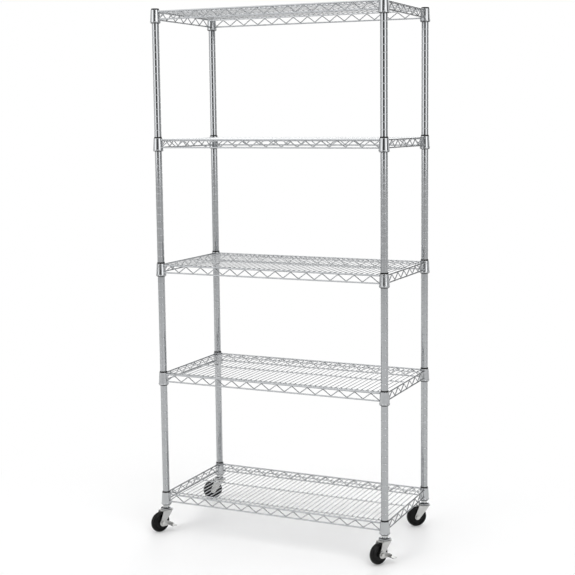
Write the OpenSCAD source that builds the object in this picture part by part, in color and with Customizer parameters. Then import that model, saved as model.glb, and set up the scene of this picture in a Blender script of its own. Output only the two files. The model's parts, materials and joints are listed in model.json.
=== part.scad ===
// Five-tier wire shelving rack on four swivel casters.
// Origin: on the floor under the rack's centre. +Z up, +X to the right, -Y to the front.

/* [Rack] */
// Distance between post axes, left to right
post_span_x = 876; // [600:1:1200]
// Distance between post axes, front to back
post_span_y = 419; // [300:1:600]
// Height of the lowest deck's top rail above the floor
lowest_shelf_z = 141; // [141:1:160]
// Spacing of the post's locating grooves
groove_pitch = 25.4; // [25.4]
// Shelf heights above the lowest shelf, in groove pitches, top shelf first
shelf_steps = [70, 52, 34, 18, 0]; // [0:1:70]

/* [Posts] */
// Outside diameter of a post
post_d = 25.4; // [25.4]
// Length of each of the two halves of a post
post_half_length = 914.4; // [914.4]
// Wall of the post tube
post_wall = 1.2; // [1:0.1:1.5]

/* [Shelf wires] */
// Diameter of the upper perimeter rail
top_rail_d = 6; // [5:0.5:7]
// Diameter of the lower perimeter rail
bottom_rail_d = 5.2; // [4.8:0.1:6]
// Distance between the two perimeter rails
rail_drop = 27; // [25:1:32]
// Diameter of the zigzag wire between the rails
zigzag_d = 3.6; // [3:0.1:4]
// Number of zigzag peaks on a long side
zigzag_peaks_long = 14; // [8:1:16]
// Number of zigzag peaks on a short side
zigzag_peaks_short = 6; // [4:1:8]
// Length of one zigzag wave
zigzag_pitch = 60; // [50:1:64]
// Diameter of a deck wire
deck_wire_d = 3.2; // [2.6:0.1:3.6]
// Number of deck wires on a shelf
deck_wires = 44; // [30:1:46]
// Diameter of the three wires that carry the deck
support_d = 5; // [4.5:0.1:5.5]

/* [Corner sleeves] */
// Height of a corner collar
collar_h = 45; // [40:1:50]
// Outside diameter of a collar at its top edge
collar_top_d = 32; // [31:0.5:34]
// Outside diameter of a collar at its bottom edge
collar_bottom_d = 37; // [36:0.5:39]
// Sheet thickness of a collar
collar_wall = 1.6; // [1.4:0.1:1.8]

/* [Casters] */
// Wheel diameter
wheel_d = 76; // [76]
// Wheel width
wheel_w = 26; // [24:1:26]
// Horizontal distance from swivel axis to axle
caster_trail = 30; // [28:1:32]
// Direction that the front wheels trail in, degrees from +X
front_trail_angle = 245; // [0:1:360]
// Direction that the rear wheels trail in, degrees from +X
rear_trail_angle = 216; // [0:1:360]

/* [Hidden] */
CORNERS = ["front_left", "front_right", "rear_right", "rear_left"];
SHELVES = ["top", "upper", "middle", "lower", "bottom"];
$fn = 48;

touch = 0.02;             // gap between solids that only lie on each other
weld = 0.4;               // bite of one welded wire into the next
rail_out = 5;             // rail centre line outside the post axis
post_bottom = lowest_shelf_z - 45;
post_r = post_d / 2;
post_bore_r = post_r - post_wall;
groove_depth = 0.6;
groove_w = 3;
collar_above_rail = 6;    // collar's top edge above the top rail's centre
sleeve_over = 5;          // sleeve standing above the collar
sleeve_under = 2;         // sleeve reaching below the collar
sleeve_bore_r = post_r + 0.05;
sleeve_slit = 1.5;
ridge_in = 0.4;
first_groove = lowest_shelf_z + collar_above_rail - collar_h / 2 - post_bottom;
half_x = post_span_x / 2;
half_y = post_span_y / 2;
rail_x = half_x + rail_out;
rail_y = half_y + rail_out;
support_inset = 34;       // outer support wires behind the front and rear rails
deck_rise = 1;            // deck wire centre above the top rail's centre

coupler_r = post_bore_r - touch;
coupler_len = 60;
cap_rise = 3;
insert_len = 28;
stem_r = 5;

axle_z = wheel_d / 2;
axle_r = 4;
axle_clear = 0.05;
race_r = 24;
fork_top_z = 80;
fork_plate = 2.6;
fork_gap = wheel_w + 4;
fork_out = fork_gap / 2 + fork_plate;
fork_eye_r = 10;
washer_gap = 0.3;
lever_plate = 2.4;
lever_hub_r = 13;

function corner_pos(c) = [
    (c == 0 || c == 3 ? -1 : 1) * half_x,
    (c < 2 ? -1 : 1) * half_y
];
function trail_angle(c) = c < 2 ? front_trail_angle : rear_trail_angle;
function shelf_z(s) = lowest_shelf_z + shelf_steps[s] * groove_pitch;
function collar_r(drop, wall = 0) =
    (collar_top_d + (collar_bottom_d - collar_top_d) * drop / collar_h) / 2 - wall;

// Half length of a wire that ends on a collar, across away from the collar's axis at a depth below its top.
function end_on_collar(span, across, drop) =
    span - sqrt(pow(collar_r(drop), 2) - pow(across, 2)) + weld;

module at_corner(c) {
    translate([corner_pos(c)[0], corner_pos(c)[1], 0]) children();
}

module at_corners() {
    for (c = [0:3]) at_corner(c) children();
}

module wire_x(half, d) {
    rotate([0, 90, 0]) cylinder(h = 2 * half, d = d, center = true);
}

module wire_y(half, d) {
    rotate([90, 0, 0]) cylinder(h = 2 * half, d = d, center = true);
}

// ---- Posts ----

// Right-hand outline of a grooved tube wall, from its foot to its top.
function grooves_in(z0, z1) = [
    for (k = [0:71])
        let (z = first_groove + k * groove_pitch)
        if (z > z0 + groove_w && z < z1 - groove_w) z - z0
];

function tube_outline(length, grooves) = concat(
    [[post_bore_r, 0], [post_r, 0]],
    [for (z = grooves) each [
        [post_r, z - groove_w / 2],
        [post_r - groove_depth, z - groove_w / 6],
        [post_r - groove_depth, z + groove_w / 6],
        [post_r, z + groove_w / 2]
    ]],
    [[post_r, length], [post_bore_r, length]]
);

module post_half(z0) {
    color("gainsboro")
        translate([0, 0, post_bottom + z0])
            rotate_extrude($fn = 64)
                polygon(tube_outline(post_half_length, grooves_in(z0, z0 + post_half_length)));
}

// Threaded stud that joins the two halves of a post.
module post_coupler() {
    color("silver")
        translate([0, 0, post_bottom + post_half_length - coupler_len / 2])
            cylinder(h = coupler_len, r = coupler_r);
}

// Domed plug on the top end of a post.
module post_cap() {
    top = post_bottom + 2 * post_half_length;
    color("dimgray")
        translate([0, 0, top + touch])
            rotate_extrude($fn = 64)
                polygon(concat(
                    [[0, -12], [coupler_r - 1, -12], [coupler_r - 0.3, -11], [coupler_r - 0.3, 0], [post_r, 0],
                     [post_r, 1.2]],
                    [for (a = [15:15:75]) [post_r * cos(a), 1.2 + (cap_rise - 1.2) * sin(a)]],
                    [[0, cap_rise]]
                ));
}

// Threaded insert pressed into the foot of a post, which takes the caster's stem.
module post_insert() {
    color("silver")
        translate([0, 0, post_bottom])
            difference() {
                union() {
                    cylinder(h = insert_len, r = coupler_r);
                    translate([0, 0, -2 - touch]) cylinder(h = 2, r = post_r);
                    translate([0, 0, -1]) cylinder(h = 2, r = coupler_r);
                }
                translate([0, 0, -3]) cylinder(h = insert_len + 6, r = stem_r + axle_clear);
            }
}

// ---- Shelves ----

// The two perimeter loops: four top rails and four bottom rails between the collars.
module shelf_rails(s) {
    color("silver")
        for (level = [[0, top_rail_d], [-rail_drop, bottom_rail_d]])
            translate([0, 0, shelf_z(s) + level[0]]) {
                drop = collar_above_rail - level[0];
                for (side = [-1, 1]) {
                    translate([0, side * rail_y, 0]) wire_x(end_on_collar(half_x, rail_out, drop), level[1]);
                    translate([side * rail_x, 0, 0]) wire_y(end_on_collar(half_y, rail_out, drop), level[1]);
                }
            }
}

// Points of one zigzag, centred on x = 0, peaks up: start low, end low.
function zigzag_points(peaks, low, high) = concat(
    [[-peaks * zigzag_pitch / 2, low]],
    [for (i = [0:peaks - 1]) each [
        [(i + 0.5 - peaks / 2) * zigzag_pitch, high],
        [(i + 1 - peaks / 2) * zigzag_pitch, low]
    ]]
);

// Band of a given half width about a zigzag of constant slope: its upper edge, then its lower edge back.
function zigzag_band(pts, hw, lift) = concat(
    [for (p = pts) [p[0], p[1] + lift]],
    [for (i = [len(pts) - 1:-1:0]) [pts[i][0], pts[i][1] - lift]]
);

// One zigzag wire standing in the XZ plane, a stepped bar as thick as it is wide.
module zigzag(peaks) {
    high = -top_rail_d / 2 - zigzag_d / 2 + weld;
    low = -rail_drop + bottom_rail_d / 2 + zigzag_d / 2 - weld;
    pts = zigzag_points(peaks, low, high);
    slope = atan2(high - low, zigzag_pitch / 2);
    rotate([90, 0, 0])
        for (layer = [[1, 0.42], [0.7, 0.7], [0.42, 1]])
            linear_extrude(height = zigzag_d * layer[0], center = true)
                polygon(zigzag_band(pts, zigzag_d / 2, layer[1] * zigzag_d / 2 / cos(slope)));
}

module shelf_zigzags(s) {
    color("silver")
        translate([0, 0, shelf_z(s)])
            for (side = [-1, 1]) {
                translate([0, side * rail_y, 0]) zigzag(zigzag_peaks_long);
                translate([side * rail_x, 0, 0]) rotate([0, 0, 90]) zigzag(zigzag_peaks_short);
            }
}

// Deck wires from front to back, butted on the top rails, over three support wires.
module shelf_deck(s) {
    gap = 2 * rail_x / (deck_wires + 1);
    reach = rail_y - top_rail_d / 2 + weld;
    support_z = deck_rise - deck_wire_d / 2 - support_d / 2 - touch;
    color("gainsboro")
        translate([0, 0, shelf_z(s)]) {
            for (i = [1:deck_wires]) {
                x = -rail_x + i * gap;
                across = half_x - abs(x);
                meets_collar = across < collar_r(collar_above_rail);
                half = meets_collar ? end_on_collar(half_y, across, collar_above_rail) : reach;
                translate([x, 0, deck_rise]) wire_y(half, deck_wire_d);
            }
            for (y = [-rail_y + support_inset, 0, rail_y - support_inset])
                translate([0, y, support_z]) wire_x(rail_x - top_rail_d / 2 + weld, support_d);
        }
}

// Tapered collar, wider at its lower edge, with a rolled foot.
module collar() {
    rotate_extrude($fn = 64)
        polygon([
            [collar_r(0, collar_wall), 0],
            [collar_r(0) - 0.5, 0],
            [collar_r(0), -0.6],
            [collar_r(collar_h - 4), -collar_h + 4],
            [collar_r(collar_h) + 0.6, -collar_h + 3],
            [collar_r(collar_h) + 0.6, -collar_h + 1],
            [collar_r(collar_h) - 0.4, -collar_h],
            [collar_r(collar_h, collar_wall), -collar_h]
        ]);
}

module shelf_collars(s) {
    color("silver")
        translate([0, 0, shelf_z(s) + collar_above_rail]) at_corners() collar();
}

// One split sleeve: two tapered half shells with a ridge that sits in a post groove.
module sleeve() {
    slack = 0.05;
    difference() {
        rotate_extrude($fn = 64)
            polygon([
                [sleeve_bore_r, sleeve_over],
                [collar_r(-sleeve_over, collar_wall) - slack - 0.8, sleeve_over],
                [collar_r(-sleeve_over, collar_wall) - slack, sleeve_over - 1.2],
                [collar_r(0, collar_wall) - slack, 0],
                [collar_r(collar_h, collar_wall) - slack, -collar_h],
                [collar_r(collar_h, collar_wall) - slack, -collar_h - sleeve_under],
                [sleeve_bore_r, -collar_h - sleeve_under],
                [sleeve_bore_r, -collar_h / 2 - 0.8],
                [sleeve_bore_r - ridge_in, -collar_h / 2 - 0.3],
                [sleeve_bore_r - ridge_in, -collar_h / 2 + 0.3],
                [sleeve_bore_r, -collar_h / 2 + 0.8]
            ]);
        translate([0, 0, -collar_h / 2])
            rotate([0, 0, 45]) cube([80, sleeve_slit, 2 * collar_h], center = true);
    }
}

module shelf_sleeves(s) {
    color("black")
        translate([0, 0, shelf_z(s) + collar_above_rail]) at_corners() sleeve();
}

// ---- Casters, each in its own frame: swivel axis on Z, wheel trailing towards +X ----

module at_caster(c) {
    at_corner(c) rotate([0, 0, trail_angle(c)]) children();
}

// Stem with its nut and the fixed upper race of the swivel.
module caster_stem() {
    color("silver")
        rotate_extrude($fn = 64)
            polygon([
                [0, fork_top_z + 3], [race_r - 7, fork_top_z + 3], [race_r - 3, fork_top_z + 4.5],
                [race_r - 3, fork_top_z + 7], [race_r - 9, fork_top_z + 10], [10, fork_top_z + 10.5],
                [10, post_bottom - 2.3], [stem_r, post_bottom - 2.3], [stem_r, post_bottom + insert_len - 4],
                [stem_r - 1, post_bottom + insert_len - 3], [0, post_bottom + insert_len - 3]
            ]);
}

// Side view of a fork leg, from the swivel plate down to the axle's eye.
module fork_leg_outline() {
    difference() {
        union() {
            polygon([
                [-16, fork_top_z - 1], [24, fork_top_z - 1],
                [caster_trail + fork_eye_r * 0.94, axle_z + fork_eye_r * 0.34],
                [caster_trail - fork_eye_r * 0.62, axle_z - fork_eye_r * 0.78]
            ]);
            translate([caster_trail, axle_z]) circle(r = fork_eye_r);
        }
        translate([caster_trail, axle_z]) circle(r = axle_r + axle_clear);
    }
}

// Pressed fork: swivel cup, top plate and two legs.
module caster_fork() {
    color("silver") {
        difference() {
            union() {
                translate([0, 0, fork_top_z - fork_plate])
                    linear_extrude(height = fork_plate)
                        union() {
                            circle(r = race_r - 1);
                            translate([-16, -fork_out]) square([40, 2 * fork_out]);
                        }
                translate([0, 0, fork_top_z - touch]) cylinder(h = 2.6, r = race_r);
            }
            translate([0, 0, fork_top_z - 10]) cylinder(h = 20, r = 4);
        }
        for (side = [-1, 1])
            translate([0, side * (fork_out - fork_plate / 2), 0])
                rotate([90, 0, 0])
                    linear_extrude(height = fork_plate, center = true) fork_leg_outline();
    }
}

// Axle bolt with its head and lock nut outside the fork.
module caster_axle() {
    reach = fork_out + lever_plate + washer_gap + 0.3;
    color("gainsboro")
        translate([caster_trail, 0, axle_z])
            rotate([90, 0, 0]) {
                cylinder(h = 2 * reach + 2, r = axle_r, center = true);
                for (side = [-1, 1])
                    translate([0, 0, side * (reach + 2)]) cylinder(h = 4, r = 7, $fn = 6, center = true);
            }
}

// Solid wheel: crowned tread, recessed faces and a raised hub.
module caster_wheel() {
    hw = wheel_w / 2;
    r = wheel_d / 2;
    color([0.05, 0.05, 0.05])
        translate([caster_trail, 0, axle_z])
            rotate([90, 0, 0])
                rotate_extrude($fn = 96)
                    polygon(concat(
                        [[axle_r + axle_clear, -hw], [11, -hw], [12.5, -hw + 2.5], [r - 12, -hw + 4],
                         [r - 10, -hw + 2]],
                        [for (a = [-80:20:80]) [r - 8 + 8 * cos(a), (hw - 2) * sin(a)]],
                        [[r - 10, hw - 2], [r - 12, hw - 4], [12.5, hw - 2.5], [11, hw],
                         [axle_r + axle_clear, hw]]
                    ));
}

// Brake lever: a plate on the axle outside the fork, with a foot tab bent outwards.
module brake_lever() {
    plate_y = fork_out + washer_gap;
    color("silver")
        translate([caster_trail, 0, axle_z])
            difference() {
                union() {
                    translate([0, plate_y + lever_plate, 0])
                        rotate([90, 0, 0])
                            linear_extrude(height = lever_plate)
                                union() {
                                    circle(r = lever_hub_r);
                                    polygon([[-8, 10], [-38, -4], [-46, -9], [-44, -14], [-28, -14], [0, -lever_hub_r]]);
                                }
                    translate([-46, plate_y, -14]) cube([18, 26, 2.4]);
                }
                rotate([90, 0, 0])
                    cylinder(h = 4 * wheel_d, r = axle_r + axle_clear, center = true);
            }
}

for (c = [0:3]) {
    at_corner(c) post_half(0);
    at_corner(c) post_half(post_half_length);
    at_caster(c) caster_stem();
    at_caster(c) caster_fork();
    at_caster(c) caster_axle();
    at_caster(c) caster_wheel();
}
for (c = [0, 1])
    at_caster(c) brake_lever();
at_corners() post_coupler();  // post_couplers
at_corners() post_cap();  // post_caps
at_corners() post_insert();  // post_inserts
for (s = [0:4]) {
    shelf_rails(s);
    shelf_zigzags(s);
    shelf_deck(s);
    shelf_collars(s);
    shelf_sleeves(s);
}
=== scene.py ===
import json
import math

import bpy
from mathutils import Matrix, Vector


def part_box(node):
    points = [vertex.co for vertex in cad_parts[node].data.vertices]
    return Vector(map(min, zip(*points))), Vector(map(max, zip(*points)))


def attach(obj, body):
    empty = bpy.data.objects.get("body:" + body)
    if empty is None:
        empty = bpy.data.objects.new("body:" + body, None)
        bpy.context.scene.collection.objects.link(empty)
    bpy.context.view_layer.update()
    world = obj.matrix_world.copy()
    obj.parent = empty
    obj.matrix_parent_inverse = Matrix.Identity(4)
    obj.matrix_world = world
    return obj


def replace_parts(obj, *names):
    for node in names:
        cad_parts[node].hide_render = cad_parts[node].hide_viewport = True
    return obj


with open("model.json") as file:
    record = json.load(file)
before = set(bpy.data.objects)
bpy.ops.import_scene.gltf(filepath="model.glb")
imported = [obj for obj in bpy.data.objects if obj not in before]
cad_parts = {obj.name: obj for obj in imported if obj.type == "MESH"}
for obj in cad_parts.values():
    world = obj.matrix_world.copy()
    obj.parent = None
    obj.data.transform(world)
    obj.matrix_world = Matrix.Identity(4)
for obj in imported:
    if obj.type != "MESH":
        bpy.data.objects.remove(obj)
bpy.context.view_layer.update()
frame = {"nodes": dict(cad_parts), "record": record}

SHELVES = ("top", "upper", "middle", "lower", "bottom")
ZIGZAG_WIRE_R = 0.0018
ZIGZAG_PITCH = 0.060
PEAKS_LONG = 14
PEAKS_SHORT = 6
SAMPLES_PER_WAVE = 16
BEND_SHARPNESS = 0.96
FLOOR_SIZE = 60
FLOOR_FADE_START = 0.2
FLOOR_FADE_END = 1.5

CAMERA_PLACE = (1.8836, -4.0175, 1.5312)
CAMERA_AZIMUTH, CAMERA_PITCH, CAMERA_ROLL = 0.4162, 0.1171, -0.0079
CAMERA_LENS_MM = 75.9
CAMERA_SENSOR_MM = 36
CAMERA_SHIFT = (-0.0565, -0.0443)

# name: (place, aim, size, watts)
LIGHTS = {
    "key": ((3.5, -4.0, 4.5), (0, 0, 1), (3, 3), 60),
    "fill": ((-4.5, -2.5, 3.0), (0, 0, 1), (2.5, 4), 30),
    "overhead": ((0, 0, 5), (0, 0, 0), (6, 6), 60),
}

# Reflected brightness round the horizon: (fraction of a turn, brightness)
REFLECTED_PANELS = (
    (0.0, 1.2), (0.08, 0.0), (0.16, 2.4), (0.24, 0.0), (0.34, 0.3), (0.44, 2.6), (0.52, 0.0),
    (0.62, 1.0), (0.70, 0.0), (0.80, 2.4), (0.88, 0.0), (1.0, 1.2),
)


# ---- Materials ----

def surface_material(name, color, metallic, roughness, roughness_spread, tint_spread, scale, bump,
                     specular=0.5):
    """Principled surface whose tint, roughness and fine relief all vary with noise."""
    mat = bpy.data.materials.new(name)
    mat.use_nodes = True
    nodes, links = mat.node_tree.nodes, mat.node_tree.links
    shader = nodes["Principled BSDF"]
    shader.inputs["Metallic"].default_value = metallic
    shader.inputs["Specular IOR Level"].default_value = specular
    coords = nodes.new("ShaderNodeTexCoord")
    noise = nodes.new("ShaderNodeTexNoise")
    noise.inputs["Scale"].default_value = scale
    noise.inputs["Detail"].default_value = 6
    links.new(coords.outputs["Object"], noise.inputs["Vector"])

    tint = nodes.new("ShaderNodeMapRange")
    tint.inputs["To Min"].default_value = 1 - tint_spread
    tint.inputs["To Max"].default_value = 1 + tint_spread
    links.new(noise.outputs["Fac"], tint.inputs["Value"])
    base = nodes.new("ShaderNodeVectorMath")
    base.operation = "SCALE"
    base.inputs[0].default_value = color
    links.new(tint.outputs["Result"], base.inputs["Scale"])
    links.new(base.outputs["Vector"], shader.inputs["Base Color"])

    rough = nodes.new("ShaderNodeMapRange")
    rough.inputs["To Min"].default_value = roughness - roughness_spread
    rough.inputs["To Max"].default_value = roughness + roughness_spread
    links.new(noise.outputs["Fac"], rough.inputs["Value"])
    links.new(rough.outputs["Result"], shader.inputs["Roughness"])

    relief = nodes.new("ShaderNodeBump")
    relief.inputs["Strength"].default_value = bump
    relief.inputs["Distance"].default_value = 0.0004
    links.new(noise.outputs["Fac"], relief.inputs["Height"])
    links.new(relief.outputs["Normal"], shader.inputs["Normal"])
    return mat


# slot: (colour, metallic, roughness, its spread, tint spread, noise scale, relief, specular)
FINISHES = {
    "chrome_tube": ((0.40, 0.41, 0.42), 1, 0.09, 0.03, 0.06, 35, 0.05, 0.5),
    "chrome_wire": ((0.36, 0.37, 0.38), 1, 0.16, 0.06, 0.08, 60, 0.06, 0.5),
    "chrome_collar": ((0.44, 0.45, 0.46), 1, 0.11, 0.04, 0.05, 45, 0.05, 0.5),
    "chrome_race": ((0.52, 0.53, 0.54), 1, 0.15, 0.06, 0.06, 80, 0.08, 0.5),
    "plated_steel": ((0.58, 0.58, 0.56), 1, 0.30, 0.08, 0.10, 120, 0.15, 0.5),
    "zinc_fork": ((0.52, 0.52, 0.51), 1, 0.32, 0.10, 0.12, 90, 0.20, 0.5),
    "cap_plastic": ((0.05, 0.05, 0.05), 0, 0.42, 0.08, 0.15, 150, 0.15, 0.5),
    "sleeve_plastic": ((0.006, 0.006, 0.006), 0, 0.38, 0.08, 0.15, 150, 0.15, 0.2),
    "wheel_rubber": ((0.003, 0.003, 0.003), 0, 0.24, 0.06, 0.20, 110, 0.25, 0.15),
    "deck_wire": ((0.50, 0.51, 0.52), 1, 0.22, 0.06, 0.06, 60, 0.06, 0.5),
}
MATERIALS = {name: surface_material(name, *finish) for name, finish in FINISHES.items()}


def paint_cad_nodes():
    """Each node gets its slot's material, except that deck wires are a little brighter than the rails."""
    for part in frame["record"]["subparts"]:
        node = part["node"]
        data = frame["nodes"][node].data
        data.materials.clear()
        look = "deck_wire" if node.endswith("_deck") else part["material_slot"]
        data.materials.append(MATERIALS[look])


# ---- Zigzag wires, round and with rounded bends ----

def zigzag_heights(peaks, low, high):
    """(distance along, height) from one low end to the other."""
    middle, swing = (low + high) / 2, (high - low) / 2
    steps = peaks * SAMPLES_PER_WAVE
    for i in range(steps + 1):
        phase = 2 * math.pi * i / SAMPLES_PER_WAVE - math.pi / 2
        wave = math.asin(BEND_SHARPNESS * math.sin(phase)) / math.asin(BEND_SHARPNESS)
        yield (i / SAMPLES_PER_WAVE - peaks / 2) * ZIGZAG_PITCH, middle + swing * wave


def wire(name, points):
    curve = bpy.data.curves.new(name, "CURVE")
    curve.dimensions = "3D"
    curve.bevel_depth = ZIGZAG_WIRE_R
    curve.bevel_resolution = 3
    curve.use_fill_caps = True
    spline = curve.splines.new("POLY")
    spline.points.add(len(points) - 1)
    for target, point in zip(spline.points, points):
        target.co = (*point, 1)
    curve.materials.append(MATERIALS["chrome_wire"])
    obj = bpy.data.objects.new(name, curve)
    bpy.context.collection.objects.link(obj)
    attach(obj, "rack")
    return obj


def shelf_zigzags(shelf):
    node = f"{shelf}_shelf_zigzags"
    lo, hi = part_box(node)
    low, high = lo[2] + ZIGZAG_WIRE_R, hi[2] - ZIGZAG_WIRE_R
    side_x = hi[0] - ZIGZAG_WIRE_R
    side_y = hi[1] - ZIGZAG_WIRE_R
    for side, word in ((-1, "front"), (1, "rear")):
        points = [(along, side * side_y, z) for along, z in zigzag_heights(PEAKS_LONG, low, high)]
        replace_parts(wire(f"{shelf}_zigzag_{word}", points), node)
    for side, word in ((-1, "left"), (1, "right")):
        points = [(side * side_x, along, z) for along, z in zigzag_heights(PEAKS_SHORT, low, high)]
        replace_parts(wire(f"{shelf}_zigzag_{word}", points), node)


# ---- Studio ----

def floor_material():
    """Pale matte floor that fades to plain white away from the rack, for the camera only."""
    mat = surface_material("studio_floor", (0.9, 0.9, 0.9), 0, 0.7, 0.05, 0.01, 3, 0)
    nodes, links = mat.node_tree.nodes, mat.node_tree.links
    coords = nodes.new("ShaderNodeTexCoord")
    distance = nodes.new("ShaderNodeVectorMath")
    distance.operation = "LENGTH"
    links.new(coords.outputs["Object"], distance.inputs[0])
    fade = nodes.new("ShaderNodeMapRange")
    fade.interpolation_type = "SMOOTHSTEP"
    fade.inputs["From Min"].default_value = FLOOR_FADE_START
    fade.inputs["From Max"].default_value = FLOOR_FADE_END
    links.new(distance.outputs["Value"], fade.inputs["Value"])
    rays = nodes.new("ShaderNodeLightPath")
    amount = nodes.new("ShaderNodeMath")
    amount.operation = "MULTIPLY"
    links.new(fade.outputs["Result"], amount.inputs[0])
    links.new(rays.outputs["Is Camera Ray"], amount.inputs[1])
    white = nodes.new("ShaderNodeEmission")
    mix = nodes.new("ShaderNodeMixShader")
    links.new(amount.outputs["Value"], mix.inputs["Fac"])
    links.new(nodes["Principled BSDF"].outputs["BSDF"], mix.inputs[1])
    links.new(white.outputs["Emission"], mix.inputs[2])
    links.new(mix.outputs["Shader"], nodes["Material Output"].inputs["Surface"])
    return mat


def floor():
    bpy.ops.mesh.primitive_plane_add(size=FLOOR_SIZE, location=(0, 0, 0))
    plane = bpy.context.object
    plane.name = "studio_floor"
    plane.data.materials.append(floor_material())


def area_light(name, location, target, size, power):
    light = bpy.data.lights.new(name, "AREA")
    light.shape = "RECTANGLE"
    light.size, light.size_y = size
    light.energy = power
    obj = bpy.data.objects.new(name, light)
    obj.location = location
    obj.rotation_mode = "QUATERNION"
    obj.rotation_quaternion = (Vector(target) - Vector(location)).to_track_quat("-Z", "Y")
    bpy.context.collection.objects.link(obj)


def studio_world():
    """White to the camera. Reflections see dark flags between bright panels, which shade the chrome."""
    world = bpy.data.worlds.new("studio")
    bpy.context.scene.world = world
    world.use_nodes = True
    nodes, links = world.node_tree.nodes, world.node_tree.links
    coords = nodes.new("ShaderNodeTexCoord")
    bands = nodes.new("ShaderNodeTexGradient")
    bands.gradient_type = "RADIAL"
    links.new(coords.outputs["Generated"], bands.inputs["Vector"])
    panels = nodes.new("ShaderNodeValToRGB")
    panels.color_ramp.interpolation = "EASE"
    ramp = panels.color_ramp.elements
    while len(ramp) < len(REFLECTED_PANELS):
        ramp.new(0.5)
    for element, (position, value) in zip(ramp, REFLECTED_PANELS):
        element.position = position
        element.color = (value, value, value, 1)
    links.new(bands.outputs["Fac"], panels.inputs["Fac"])
    seen = nodes.new("ShaderNodeMix")
    seen.data_type = "RGBA"
    seen.inputs["B"].default_value = (1, 1, 1, 1)
    rays = nodes.new("ShaderNodeLightPath")
    links.new(rays.outputs["Is Camera Ray"], seen.inputs["Factor"])
    links.new(panels.outputs["Color"], seen.inputs["A"])
    links.new(seen.outputs["Result"], nodes["Background"].inputs["Color"])


def camera():
    """From the front right, about level with the second shelf from the top, pitched slightly down."""
    azimuth, pitch, roll = CAMERA_AZIMUTH, CAMERA_PITCH, CAMERA_ROLL
    level = math.cos(pitch)
    forward = Vector((-math.sin(azimuth) * level, math.cos(azimuth) * level, -math.sin(pitch)))
    flat = Vector((math.cos(azimuth), math.sin(azimuth), 0))
    tall = flat.cross(forward)
    right = flat * math.cos(roll) + tall * math.sin(roll)
    up = tall * math.cos(roll) - flat * math.sin(roll)
    data = bpy.data.cameras.new("photo_view")
    data.lens = CAMERA_LENS_MM
    data.sensor_width = CAMERA_SENSOR_MM
    data.shift_x, data.shift_y = CAMERA_SHIFT
    data.dof.use_dof = False
    obj = bpy.data.objects.new("photo_view", data)
    axes = Matrix((right, up, -forward)).transposed().to_4x4()
    obj.matrix_world = Matrix.Translation(CAMERA_PLACE) @ axes
    bpy.context.collection.objects.link(obj)
    bpy.context.scene.camera = obj


paint_cad_nodes()
for shelf in SHELVES:
    shelf_zigzags(shelf)
floor()
studio_world()
for name, (place, aim, size, watts) in LIGHTS.items():
    area_light(name, place, aim, size, watts)
camera()
bpy.context.scene.view_settings.view_transform = "Standard"
